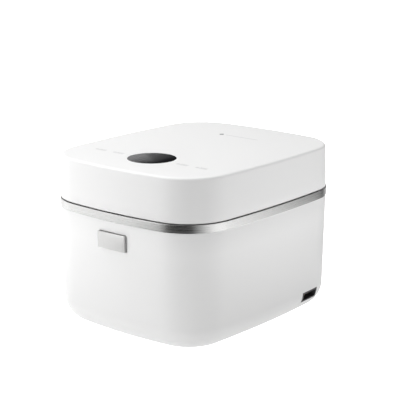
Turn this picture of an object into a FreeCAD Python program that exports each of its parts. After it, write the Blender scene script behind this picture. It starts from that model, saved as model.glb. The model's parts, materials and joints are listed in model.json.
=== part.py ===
import FreeCAD, Part
import Sketcher
import math
import os
import re

# Induction rice cooker. Millimetres, +Z up, front towards -Y, origin on the table
# under the middle of the body. Every formula below reads the sheet's aliases.

SIZES = {
    # plan outline: eight tangent arcs
    "half_w": 135, "half_d": 162.5, "side_r": 1400, "front_r": 640, "corner_r": 65,
    # body
    "foot_z": 4, "body_top": 160, "wall": 2.6, "body_lean": 2.6, "base_round": 32, "base_inset": 38,
    "band_top": 170.5, "band_proud": 0.8, "band_wall": 2.4,
    "deck_low": 163, "deck_top": 169.5, "deck_seat": 166.5,
    # lid
    "lid_low": 171.8, "lid_top": 228, "lid_lean": 2.1, "lid_edge": 3.5, "lid_wall": 2.5,
    "frame_inset": 2.9, "frame_low": 172.2, "frame_top": 175.2,
    "recess_r": 113, "recess_wall": 2.5, "recess_top": 188,
    # pot and what it stands in
    "pot_y": -25, "pot_r": 108.5, "pot_wall": 3, "pot_low": 44, "pot_round": 45, "flange_r": 117,
    "bowl_gap": 3, "bowl_wall": 2.5, "bowl_top": 92, "liner_wall": 1.2, "sensor_hole": 18,
    # hinge at the rear
    "hinge_y": 150, "hinge_z": 176, "hinge_half": 94, "cover_r": 15, "cover_wall": 2.5,
    "sweep_gap": 0.8, "pin_r": 2.5, "pin_fit": 0.06, "arm_in": 42, "arm_out": 53, "lug_out": 62,
    "skirt_z": 189,
    # latch and button at the front
    "latch_y": -152, "latch_z": 150, "button_z": 135, "button_w": 45, "button_tall": 21,
    "button_face": -165.5, "slit": 0.7,
    # window, fan, mains inlet
    "window_y": -87, "window_r": 31.5, "fan_x": -35, "fan_y": 88, "fan_half": 35, "fan_r": 31.5,
    "inlet_y": 84, "inlet_z": 28.5, "inlet_w": 36, "inlet_tall": 14,
    # power board
    "board_y": 130, "board_wall": 1.6,
}

doc = FreeCAD.newDocument("rice_cooker")
sheet = doc.addObject("Spreadsheet::Sheet", "sizes")
for row, (alias, number) in enumerate(SIZES.items(), start=1):
    sheet.set(f"A{row}", alias)
    sheet.set(f"B{row}", str(number))
    sheet.setAlias(f"B{row}", alias)
doc.recompute()

TURNS = {
    "x": FreeCAD.Rotation(FreeCAD.Vector(0, 1, 0), 90),
    "y": FreeCAD.Rotation(FreeCAD.Vector(1, 0, 0), -90),
    "z": FreeCAD.Rotation(),
}


def formula(text):
    """Write a formula of alias words as an expression that reads the sheet."""
    return re.sub(r"[a-z]\w*", lambda w: f"sizes.{w[0]}" if w[0] in SIZES else w[0], str(text))


def value(text):
    """Work a formula out as a number."""
    return float(sheet.evalExpression(str(text)))


def bind(thing, prop, text):
    thing.setExpression(prop, formula(text))


def place(thing, at, turn=FreeCAD.Rotation()):
    """Put a thing at a point given as three formulas."""
    thing.Placement = FreeCAD.Placement(FreeCAD.Vector(), turn)
    for axis, text in zip("xyz", at):
        bind(thing, f"Placement.Base.{axis}", text)


# ---- simple solids and booleans ------------------------------------------------

def box(label, low, high):
    """Box between two corners."""
    thing = doc.addObject("Part::Box", label)
    for side, a, b in zip(("Length", "Width", "Height"), low, high):
        bind(thing, side, f"({b})-({a})")
    place(thing, low)
    return thing


def rod(label, radius, start, length, along="z"):
    """Cylinder from a start point along +X, +Y or +Z."""
    thing = doc.addObject("Part::Cylinder", label)
    bind(thing, "Radius", radius)
    bind(thing, "Height", length)
    place(thing, start, TURNS[along])
    return thing


def ring(label, middle, section, at, along="z"):
    """Torus: radius to the middle of its section, and the section's radius."""
    thing = doc.addObject("Part::Torus", label)
    bind(thing, "Radius1", middle)
    bind(thing, "Radius2", section)
    place(thing, at, TURNS[along])
    return thing


def fuse(label, *parts):
    thing = doc.addObject("Part::MultiFuse", label)
    thing.Shapes = list(parts)
    thing.Refine = True
    return thing


def common(label, *parts):
    thing = doc.addObject("Part::MultiCommon", label)
    thing.Shapes = list(parts)
    return thing


def cut(label, base, *tools):
    thing = doc.addObject("Part::Cut", label)
    thing.Base = base
    thing.Tool = tools[0] if len(tools) == 1 else fuse(label + "_tools", *tools)
    return thing


def group(label, parts):
    """Separate solids that share one node."""
    thing = doc.addObject("Part::Compound", label)
    thing.Links = list(parts)
    return thing


def tube(label, outer, inner, start, length, along="z"):
    return cut(label, rod(label + "_solid", outer, start, length, along),
               rod(label + "_bore", inner, start, length, along))


# ---- sketched bodies ------------------------------------------------------------

def new_sketch(body, name, role, level="0"):
    """Sketch on one of the body's own origin planes, raised to a level."""
    sketch = body.newObject("Sketcher::SketchObject", name)
    plane = [p for p in body.Origin.OriginFeatures if p.Role == role][0]
    sketch.AttachmentSupport = [(plane, "")]
    sketch.MapMode = "FlatFace"
    bind(sketch, "AttachmentOffset.Base.z", level)
    return sketch


def hold(sketch, kind, *refs, name=None, text=None):
    """Add a constraint, and bind it to the sheet when it is a dimension."""
    if text is None:
        sketch.addConstraint(Sketcher.Constraint(kind, *refs))
        return
    sketch.renameConstraint(sketch.addConstraint(Sketcher.Constraint(kind, *refs, value(text))), name)
    bind(sketch, f"Constraints.{name}", text)


def outline_sketch(body, level, inset):
    """The cooker's plan, moved in by an inset: eight arcs, each tangent to the next."""
    sketch = new_sketch(body, body.Label + "_plan", "XY_Plane", level)
    half_w, half_d = f"(half_w-({inset}))", f"(half_d-({inset}))"
    side, front, corner = f"(side_r-({inset}))", f"(front_r-({inset}))", f"(corner_r-({inset}))"
    a, b, rs, rf, rc = (value(t) for t in (half_w, half_d, side, front, corner))
    # the corner's centre lies rs-rc from the side arc's centre and rf-rc from the front arc's
    span = math.hypot(rs - a, rf - b)
    along = ((rs - rc) ** 2 - (rf - rc) ** 2 + span ** 2) / (2 * span)
    off = math.sqrt((rs - rc) ** 2 - along ** 2)
    ux, uy = (rs - a) / span, -(rf - b) / span
    x, y = a - rs + along * ux - off * uy, along * uy + off * ux
    t1, t2 = math.atan2(y, x - (a - rs)), math.atan2(y - (b - rf), x)
    pi = math.pi
    arcs = []
    for centre, radius, start, end in (
        ((a - rs, 0), rs, -t1, t1), ((x, y), rc, t1, t2),
        ((0, b - rf), rf, t2, pi - t2), ((-x, y), rc, pi - t2, pi - t1),
        ((rs - a, 0), rs, pi - t1, pi + t1), ((-x, -y), rc, pi + t1, pi + t2),
        ((0, rf - b), rf, pi + t2, 2 * pi - t2), ((x, -y), rc, -t2, -t1),
    ):
        circle = Part.Circle(FreeCAD.Vector(*centre, 0), FreeCAD.Vector(0, 0, 1), radius)
        arcs.append(sketch.addGeometry(Part.ArcOfCircle(circle, start, end), False))
    for i in range(8):
        hold(sketch, "Tangent", arcs[i], 2, arcs[(i + 1) % 8], 1)
    right, corner_arc, rear, left, front_arc = arcs[0], arcs[1], arcs[2], arcs[4], arcs[6]
    for arc, axis in ((right, -1), (left, -1), (rear, -2), (front_arc, -2)):
        hold(sketch, "PointOnObject", arc, 3, axis)
    for one, other in ((right, left), (rear, front_arc), (corner_arc, arcs[3]), (corner_arc, arcs[5]),
                       (corner_arc, arcs[7])):
        hold(sketch, "Equal", one, other)
    hold(sketch, "Radius", corner_arc, name="corner", text=corner)
    hold(sketch, "Radius", right, name="side", text=side)
    hold(sketch, "Radius", rear, name="rear", text=front)
    hold(sketch, "DistanceX", right, 3, -1, 1, name="right_c", text=f"{side}-{half_w}")
    hold(sketch, "DistanceX", -1, 1, left, 3, name="left_c", text=f"{side}-{half_w}")
    hold(sketch, "DistanceY", rear, 3, -1, 1, name="rear_c", text=f"{front}-{half_d}")
    hold(sketch, "DistanceY", -1, 1, front_arc, 3, name="front_c", text=f"{front}-{half_d}")
    return sketch


def prism(label, low, high, inset="0", lean=None, rounding=None, downward=False):
    """Pad of the plan between two levels. It leans inwards away from its sketch, and the
    edges of its far face may be rounded."""
    body = doc.addObject("PartDesign::Body", label)
    sketch = outline_sketch(body, high if downward else low, inset)
    pad = body.newObject("PartDesign::Pad", label + "_pad")
    pad.Profile = sketch
    pad.Reversed = downward
    bind(pad, "Length", f"({high})-({low})")
    if lean:
        bind(pad, "TaperAngle", f"-atan(({lean})/(({high})-({low})))")
    if rounding:
        doc.recompute()
        level = value(low if downward else high)
        edges = [f"Edge{i}" for i, edge in enumerate(pad.Shape.Edges, start=1)
                 if abs(edge.BoundBox.ZMax - level) < 1e-6 and abs(edge.BoundBox.ZMin - level) < 1e-6]
        fillet = body.newObject("PartDesign::Fillet", label + "_round")
        fillet.Base = (pad, edges)
        bind(fillet, "Radius", rounding)
    return body


def turned(label, points, at=("0", "0", "0")):
    """Body of revolution about a vertical axis, from a closed outline of (radius, height)
    points. A third formula in a point rounds that corner with a tangent arc."""
    body = doc.addObject("PartDesign::Body", label)
    sketch = new_sketch(body, label + "_profile", "XZ_Plane")
    spots = [FreeCAD.Vector(value(p[0]), value(p[1]), 0) for p in points]
    count = len(points)
    ends = []
    for i, spot in enumerate(spots):
        back, on = (spots[i - 1] - spot).normalize(), (spots[(i + 1) % count] - spot).normalize()
        if len(points[i]) == 2:
            ends.append((spot, spot, None))
            continue
        radius = value(points[i][2])
        half = back.getAngle(on) / 2
        reach = radius / math.tan(half)
        centre = spot + (back + on).normalize() * (radius / math.sin(half))
        ends.append((spot + back * reach, spot + on * reach, centre))
    lines = [sketch.addGeometry(Part.LineSegment(ends[i][1], ends[(i + 1) % count][0]), False)
             for i in range(count)]
    for i, point in enumerate(points):
        before = lines[i - 1]
        if ends[i][2] is None:
            hold(sketch, "Coincident", before, 2, lines[i], 1)
            owner, end = lines[i], 1
        else:
            enter, leave, centre = ends[i]
            left_turn = (centre - enter).cross(leave - enter).z < 0
            first, last = (enter, leave) if left_turn else (leave, enter)
            angles = [math.atan2(e.y - centre.y, e.x - centre.x) for e in (first, last)]
            circle = Part.Circle(centre, FreeCAD.Vector(0, 0, 1), value(point[2]))
            arc = sketch.addGeometry(Part.ArcOfCircle(circle, *angles), False)
            hold(sketch, "Tangent", before, 2, arc, 1 if left_turn else 2)
            hold(sketch, "Tangent", arc, 2 if left_turn else 1, lines[i], 1)
            hold(sketch, "Radius", arc, name=f"round{i}", text=point[2])
            owner, end = sketch.addGeometry(Part.Point(spots[i]), True), 1
            hold(sketch, "PointOnObject", owner, 1, before)
            hold(sketch, "PointOnObject", owner, 1, lines[i])
        hold(sketch, "DistanceX", -1, 1, owner, end, name=f"across{i}", text=point[0])
        hold(sketch, "DistanceY", -1, 1, owner, end, name=f"up{i}", text=point[1])
    spin = body.newObject("PartDesign::Revolution", label + "_turn")
    spin.Profile = sketch
    spin.ReferenceAxis = (sketch, ["V_Axis"])
    place(body, at)
    return body


def swept(label, path, radius):
    """Round bar along a wire made of lines and arcs."""
    start = path.Edges[0]
    section = Part.Wire(Part.makeCircle(radius, start.valueAt(start.FirstParameter),
                                        start.tangentAt(start.FirstParameter)))
    thing = doc.addObject("Part::Feature", label)
    thing.Shape = path.makePipeShell([section], True, True)
    return thing


def bent_wire(points, bend):
    """Straight runs through points, with a tangent arc of one radius at each inner point."""
    spots = [FreeCAD.Vector(*p) for p in points]
    edges, begin = [], spots[0]
    for before, spot, after in zip(spots, spots[1:], spots[2:]):
        back, on = (before - spot).normalize(), (after - spot).normalize()
        half = back.getAngle(on) / 2
        reach = bend / math.tan(half)
        middle = spot + (back + on).normalize() * (bend / math.sin(half) - bend)
        edges.append(Part.makeLine(begin, spot + back * reach))
        edges.append(Part.Arc(spot + back * reach, middle, spot + on * reach).toShape())
        begin = spot + on * reach
    edges.append(Part.makeLine(begin, spots[-1]))
    return Part.Wire(edges)


def spring(label, coil_r, wire_r, length, turns, start, along="z"):
    """Coil spring: one round wire swept along a helix."""
    helix = Part.makeHelix(length / turns, length, coil_r)
    section = Part.Wire(Part.makeCircle(wire_r, FreeCAD.Vector(coil_r, 0, 0), FreeCAD.Vector(0, 1, 0)))
    thing = doc.addObject("Part::Feature", label)
    thing.Shape = Part.Wire(helix.Edges).makePipeShell([section], True, True)
    thing.Placement = FreeCAD.Placement(FreeCAD.Vector(*start), TURNS[along])
    return thing


nodes = []


def node(thing):
    """Keep a finished piece: its Label names its file."""
    nodes.append(thing)
    return thing


# ---- casings --------------------------------------------------------------------

def casings():
    """Outer body, its base, feet and trim."""
    outer = prism("body_outer", "foot_z", "body_top", "0", "body_lean", "base_round", downward=True)
    inner = prism("body_inner", "foot_z+wall", "body_top+0.001", "wall", "body_lean", "base_round-wall",
                  downward=True)
    opening = prism("base_opening", "0", "foot_z+wall+1", "base_inset")
    window = box("button_window", ("-button_w/2-slit", "-half_d-1", "button_z-button_tall/2-slit"),
                 ("button_w/2+slit", "-half_d+10", "button_z+button_tall/2+slit"))
    inlet = box("inlet_window", ("half_w-35", "inlet_y-inlet_w/2", "inlet_z-inlet_tall/2"),
                ("half_w+5", "inlet_y+inlet_w/2", "inlet_z+inlet_tall/2"))
    node(cut("body_shell", outer, inner, opening, window, inlet))
    node(cut("inlet_housing",
             common("inlet_body", outer, box(
                 "inlet_block", ("half_w-31", "inlet_y-inlet_w/2+0.2", "inlet_z-inlet_tall/2+0.2"),
                 ("half_w+5", "inlet_y+inlet_w/2-0.2", "inlet_z+inlet_tall/2-0.2"))),
             box("inlet_socket", ("half_w-26", "inlet_y-inlet_w/2+3", "inlet_z-inlet_tall/2+2.4"),
                 ("half_w+6", "inlet_y+inlet_w/2-3", "inlet_z+inlet_tall/2-2.4"))))

    plate = fuse("base_plate", prism("base_skin", "foot_z", "foot_z+wall", "base_inset+0.3"),
                 prism("base_lip", "foot_z+wall", "foot_z+wall+2", "base_inset-2.5"))
    vents = [box(f"vent_{row}_{i}", (f"fan_x-{32 - 10 * i}", f"fan_y-31+{33 * row}", "0"),
                 (f"fan_x-{32 - 10 * i}+4", f"fan_y-31+{33 * row}+28", "20"))
             for row in range(2) for i in range(7) if not (row == 1 and i in (0, 6))]
    vents += [box(f"front_vent_{i}", (f"{-42 + 12 * i}", "-70", "0"), (f"{-38 + 12 * i}", "-30", "20"))
              for i in range(8)]
    foot_spots = [("-62", "-98"), ("62", "-98"), ("-86", "52"), ("86", "52")]
    screw_spots = [("-80", "-70"), ("80", "-70"), ("-88", "78"), ("88", "22")]
    sockets = [rod(f"foot_socket_{i}", "5", (x, y, "0"), "20") for i, (x, y) in enumerate(foot_spots)]
    holes = [rod(f"screw_hole_{i}", "2", (x, y, "0"), "20") for i, (x, y) in enumerate(screw_spots)]
    node(cut("base_cover", plate, *vents, *sockets, *holes))
    node(group("feet", [
        turned(f"foot_{i}", [("0", "0"), ("9", "0", "1"), ("10", "foot_z"), ("4.9", "foot_z"),
                             ("4.9", "foot_z+wall+2"), ("0", "foot_z+wall+2")], (x, y, "0"))
        for i, (x, y) in enumerate(foot_spots)]))
    node(group("base_screws", [
        turned(f"base_screw_{i}", [("0", "foot_z-1.5"), ("1", "foot_z-1.5"), ("1", "foot_z-0.9"),
                                   ("3.6", "foot_z-0.9", "0.5"), ("3.6", "foot_z"), ("1.9", "foot_z"),
                                   ("1.9", "foot_z+12"), ("0", "foot_z+12.5")], (x, y, "0"))
        for i, (x, y) in enumerate(screw_spots)]))

    ring_solid = prism("band_outer", "body_top", "band_top", "-band_proud")
    ring_hole = prism("band_hole", "body_top-1", "band_top+1", "band_wall-band_proud")
    rear_gap = box("band_gap", ("-hinge_half-0.6", "half_d-25", "body_top-1"),
                   ("hinge_half+0.6", "half_d+5", "band_top+1"))
    node(cut("trim_band", ring_solid, ring_hole, rear_gap))

    deck = prism("deck_solid", "deck_low", "deck_top", "band_wall-band_proud+0.2")
    lip = cut("deck_lip", prism("deck_lip_outer", "body_top-4", "deck_low", "wall+0.3"),
              prism("deck_lip_inner", "body_top-5", "deck_low+1", "wall+2.3"))
    hollow = rod("deck_hole", "pot_r+bowl_gap+liner_wall+0.1", ("0", "pot_y", "0"), "200")
    seat = rod("deck_seat_cut", "flange_r+2", ("0", "pot_y", "deck_seat"), "20")
    moat = tube("deck_moat", "flange_r+9", "flange_r+4.5", ("0", "pot_y", "deck_top-1.5"), "20")
    slot = box("hook_slot", ("-13", "latch_y-8", "150"), ("13", "latch_y+6", "190"))
    rear = box("deck_rear", ("-hinge_half-0.6", "hinge_y-cover_r-0.3", "150"),
               ("hinge_half+0.6", "half_d+5", "190"))
    node(cut("deck_ring", fuse("deck_blank", deck, lip), hollow, seat, moat, slot, rear))


# ---- pot and heating ---------------------------------------------------------------

def heating():
    """Pot, the bowl and liner that it stands in, coil and sensor."""
    centre = ("0", "pot_y", "0")
    top, flange = "deck_seat+2", "deck_seat"
    node(turned("inner_pot", [
        ("0", "pot_low"), ("pot_r", "pot_low", "pot_round"), ("pot_r", flange, "1.2"),
        ("flange_r", flange, "0.6"), ("flange_r", top, "1.2"), ("pot_r-pot_wall", top, "2"),
        ("pot_r-pot_wall", "pot_low+pot_wall", "pot_round-pot_wall"), ("0", "pot_low+pot_wall")], centre))
    bowl_r, bowl_low = "(pot_r+bowl_gap)", "(pot_low-bowl_gap)"
    node(turned("coil_bowl", [
        ("sensor_hole", f"{bowl_low}-bowl_wall"),
        (f"{bowl_r}+bowl_wall", f"{bowl_low}-bowl_wall", "pot_round+bowl_gap+bowl_wall"),
        (f"{bowl_r}+bowl_wall", "bowl_top"), (bowl_r, "bowl_top"),
        (bowl_r, bowl_low, "pot_round+bowl_gap"), ("sensor_hole", bowl_low)], centre))
    node(turned("inner_liner", [
        (bowl_r, "bowl_top"), (f"{bowl_r}+liner_wall", "bowl_top"), (f"{bowl_r}+liner_wall", "deck_low-1.5"),
        (f"{bowl_r}+7", "deck_low-1.5"), (f"{bowl_r}+7", "deck_low-0.1"), (bowl_r, "deck_low-0.1")], centre))
    node(tube("side_heater", "pot_r+bowl_gap+liner_wall+2.2", "pot_r+bowl_gap+liner_wall",
              ("0", "pot_y", "118"), "24"))

    # litz coil: a spiral of half turns, each 2 mm wider than the last
    wire_r, pitch, level = 1.6, 3.9, value("pot_low-bowl_gap-bowl_wall") - 1.9
    edges, radius, middle, side = [], 24.0, 0.0, 1
    for _ in range(20):
        ends = FreeCAD.Vector(middle + side * radius, 0, level), FreeCAD.Vector(middle - side * radius, 0, level)
        edges.append(Part.Arc(ends[0], FreeCAD.Vector(middle, side * radius, level), ends[1]).toShape())
        middle += side * pitch / 4
        radius += pitch / 4
        side = -side
    coil = swept("induction_coil", Part.Wire(edges), wire_r)
    coil.Placement = FreeCAD.Placement(FreeCAD.Vector(0, value("pot_y"), 0), FreeCAD.Rotation())
    node(coil)

    bars = []
    for i in range(8):
        bar = doc.addObject("Part::Box", f"ferrite_{i}")
        bar.Length, bar.Width, bar.Height = 40, 12, 5
        turn = FreeCAD.Rotation(FreeCAD.Vector(0, 0, 1), 22.5 + 45 * i)
        corner = turn.multVec(FreeCAD.Vector(24, -6, 0))
        bar.Placement = FreeCAD.Placement(corner, turn)
        bind(bar, "Placement.Base.y", f"pot_y+{corner.y}")
        bind(bar, "Placement.Base.z", "pot_low-13.5")
        bars.append(bar)
    node(group("ferrite_bars", bars))
    tray = [rod("tray_disc", "70", ("0", "pot_y", "pot_low-16.5"), "3")]
    for i, (x, y) in enumerate((("-58", "pot_y-30"), ("58", "pot_y-30"), ("0", "pot_y+62"))):
        tray.append(rod(f"tray_post_{i}", "4", (x, y, "foot_z+wall+2"), "20"))
    node(cut("coil_tray", fuse("tray_blank", *tray),
             rod("tray_hole", "10", ("0", "pot_y", "0"), "60")))

    sleeve = fuse("sleeve_solid", rod("sleeve_tube", "7", ("0", "pot_y", "pot_low-16.5"), "10"),
                  rod("sleeve_foot", "9.5", ("0", "pot_y", "pot_low-16.5"), "2"))
    node(cut("sensor_sleeve", sleeve, rod("sleeve_bore", "4+pin_fit", ("0", "pot_y", "0"), "60")))
    node(turned("sensor_cap", [
        ("0", "pot_low-18"), ("4", "pot_low-18"), ("4", "pot_low-3.5"), ("12.5", "pot_low-3.5"),
        ("12.5", "pot_low-6.5"), ("14", "pot_low-6.5"), ("14", "pot_low-0.4", "1.5"),
        ("0", "pot_low-0.4")], centre))
    node(spring("sensor_spring", 8.6, 0.5, 8.5, 4.5, (0, value("pot_y"), value("pot_low") - 13.2)))


# ---- electrics in the body -----------------------------------------------------------

def electrics():
    """Fan, mains inlet, power board and its parts, leads."""
    low = "foot_z+wall+2.1"
    frame = box("fan_block", ("fan_x-fan_half", "fan_y-fan_half", low),
                ("fan_x+fan_half", "fan_y+fan_half", f"{low}+18"))
    tunnel = rod("fan_tunnel", "fan_r+0.5", ("fan_x", "fan_y", f"{low}-1"), "30")
    hub = [rod("fan_seat", "11", ("fan_x", "fan_y", low), "3"),
           rod("fan_shaft", "1.5", ("fan_x", "fan_y", low), "12")]
    spokes = [box("fan_spoke_x", ("fan_x-fan_half+1", "fan_y-1.5", low), ("fan_x+fan_half-1", "fan_y+1.5",
                                                                         f"{low}+2")),
              box("fan_spoke_y", ("fan_x-1.5", "fan_y-fan_half+1", low), ("fan_x+1.5", "fan_y+fan_half-1",
                                                                         f"{low}+2"))]
    node(fuse("fan_frame", cut("fan_shroud", frame, tunnel), *hub, *spokes))
    blades = []
    for i in range(7):
        blade = doc.addObject("Part::Box", f"fan_blade_{i}")
        blade.Length, blade.Width, blade.Height = 21, 1.4, 12
        turn = (FreeCAD.Rotation(FreeCAD.Vector(0, 0, 1), 360 * i / 7)
                * FreeCAD.Rotation(FreeCAD.Vector(1, 0, 0), -38))
        corner = FreeCAD.Rotation(FreeCAD.Vector(0, 0, 1), 360 * i / 7).multVec(FreeCAD.Vector(9, -4, 0))
        blade.Placement = FreeCAD.Placement(corner, turn)
        bind(blade, "Placement.Base.x", f"fan_x+{corner.x}")
        bind(blade, "Placement.Base.y", f"fan_y+{corner.y}")
        bind(blade, "Placement.Base.z", f"{low}+5")
        blades.append(blade)
    rotor = fuse("rotor_blank", rod("rotor_hub", "11", ("fan_x", "fan_y", f"{low}+3.5"), "13"), *blades)
    node(cut("fan_rotor", rotor, rod("rotor_bore", "1.5+pin_fit", ("fan_x", "fan_y", "0"), f"{low}+12.4")))

    node(group("inlet_pins", [
        box(f"inlet_pin_{i}", ("half_w-38", f"inlet_y-1+{8 * i - 8}", "inlet_z-2"),
            ("half_w-14", f"inlet_y+1+{8 * i - 8}", "inlet_z+2")) for i in range(3)]))
    back = "board_y-board_wall"
    node(box("power_board", ("-72", back, "34"), ("78", "board_y", "140")))
    fins = [box(f"fin_{i}", (f"{-62 + 7 * i}", "98", "62"), (f"{-60 + 7 * i}", f"{back}-8", "116"))
            for i in range(9)]
    node(fuse("heat_sink", box("sink_base", ("-62", f"{back}-11", "62"), ("-4", f"{back}-7", "116")), *fins))
    node(group("power_devices", [
        box(f"device_{i}", (f"{-54 + 26 * i}", f"{back}-7", "78"), (f"{-38 + 26 * i}", back, "98"))
        for i in range(2)]))
    node(group("capacitors", [
        rod(f"capacitor_{i}", "9", ("14", f"{back}-24", f"{56 + 22 * i}"), "24", "y") for i in range(3)]))
    node(group("choke_coil", [ring("choke_ring", "11", "4.5", ("52", f"{back}-6", "112"), "y"),
                              box("filter_block", ("40", f"{back}-16", "48"), ("66", back, "70"))]))
    pot_y, board_y = value("pot_y"), value("board_y-board_wall")
    leads = []
    for i in range(2):
        x = 36 + 9 * i
        leads.append(swept(f"coil_lead_{i}", bent_wire([
            (x, pot_y + 26, 21), (x, board_y - 22, 21), (x, board_y - 22, 42), (x, board_y, 42)], 8), 1.5))
    node(group("coil_leads", leads))
    leads = []
    for i in range(3):
        y = value("inlet_y") + 8 * i - 8
        z = value("inlet_z")
        leads.append(swept(f"inlet_lead_{i}", bent_wire([
            (value("half_w-38"), y, z), (value("half_w-52") - 5 * i, y, z),
            (value("half_w-52") - 5 * i, y, 44 + 4 * i), (value("half_w-52") - 5 * i, board_y, 44 + 4 * i)],
            6), 1.2))
    node(group("inlet_leads", leads))


# ---- hinge ---------------------------------------------------------------------------

def hinge():
    """Fixed rear cover, bracket, pin and spring, and the lid's two arms."""
    axis = ("hinge_y", "hinge_z")
    solid = common("cover_solid", prism("cover_plan", "body_top+0.1", "hinge_z+cover_r+1"), fuse(
        "cover_blank", rod("cover_roll", "cover_r", ("-hinge_half", *axis), "2*hinge_half", "x"),
        box("cover_skirt", ("-hinge_half", "hinge_y-cover_r", "body_top+0.1"),
            ("hinge_half", "half_d+1", "hinge_z"))))
    hollow = common("cover_hollow", prism("cover_core", "body_top-1", "hinge_z+cover_r", "cover_wall"), fuse(
        "cover_core_blank", rod("cover_core_roll", "cover_r-cover_wall", ("-hinge_half+cover_wall", *axis),
                                "2*(hinge_half-cover_wall)", "x"),
        box("cover_core_box", ("-hinge_half+cover_wall", "hinge_y-cover_r+cover_wall", "body_top-1"),
            ("hinge_half-cover_wall", "half_d+1", "hinge_z"))))
    slots = [box(f"cover_slot_{side}", (low, "hinge_y-cover_r-1", "hinge_z-6"),
                 (high, "hinge_y+4.5", "hinge_z+cover_r+1"))
             for side, low, high in ((0, "-arm_out-1", "-arm_in+1"), (1, "arm_in-1", "arm_out+1"))]
    node(cut("hinge_cover", solid, hollow, *slots))

    lugs = [box("bracket_foot", ("-72", "hinge_y-9", "body_top-3"), ("72", "hinge_y+5", "body_top-1"))]
    for side, low, high in ((0, "-lug_out", "-lug_out+7"), (1, "lug_out-7", "lug_out")):
        lugs.append(box(f"lug_{side}", (low, "hinge_y-6", "body_top-1"), (high, "hinge_y+5", "hinge_z")))
        lugs.append(rod(f"lug_eye_{side}", "6", (low, *axis), "7", "x"))
    node(cut("hinge_bracket", fuse("bracket_blank", *lugs),
             rod("bracket_bore", "pin_r+pin_fit", ("-80", *axis), "160", "x")))
    node(group("hinge_screws", [
        turned(f"hinge_screw_{i}", [("0", "body_top-1"), ("3", "body_top-1"), ("3", "body_top+1", "0.8"),
                                    ("0", "body_top+1")], (x, "hinge_y-2", "0"))
        for i, x in enumerate(("-67.5", "-20", "20", "67.5"))]))
    node(fuse("hinge_pin", rod("pin_shaft", "pin_r", ("-lug_out-2", *axis), "2*lug_out+4", "x"),
              rod("pin_head", "pin_r+1.5", ("-lug_out-4", *axis), "2", "x")))
    node(spring("hinge_spring", 4.4, 0.8, 60, 24, (-30, value("hinge_y"), value("hinge_z")), "x"))

    arms = []
    for side, low, high in ((0, "-arm_out", "-arm_in"), (1, "arm_in", "arm_out")):
        knuckle = rod(f"knuckle_{side}", "6", (low, *axis), "arm_out-arm_in", "x")
        bar = box(f"arm_bar_{side}", (low, "112", "frame_top+0.05"), (high, "hinge_y", "frame_top+4.5"))
        arms.append(cut(f"arm_{side}", fuse(f"arm_blank_{side}", knuckle, bar),
                        rod(f"arm_bore_{side}", "pin_r+pin_fit", ("-80", *axis), "160", "x")))
    node(group("lid_hinge_arms", arms))


# ---- lid -----------------------------------------------------------------------------

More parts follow.
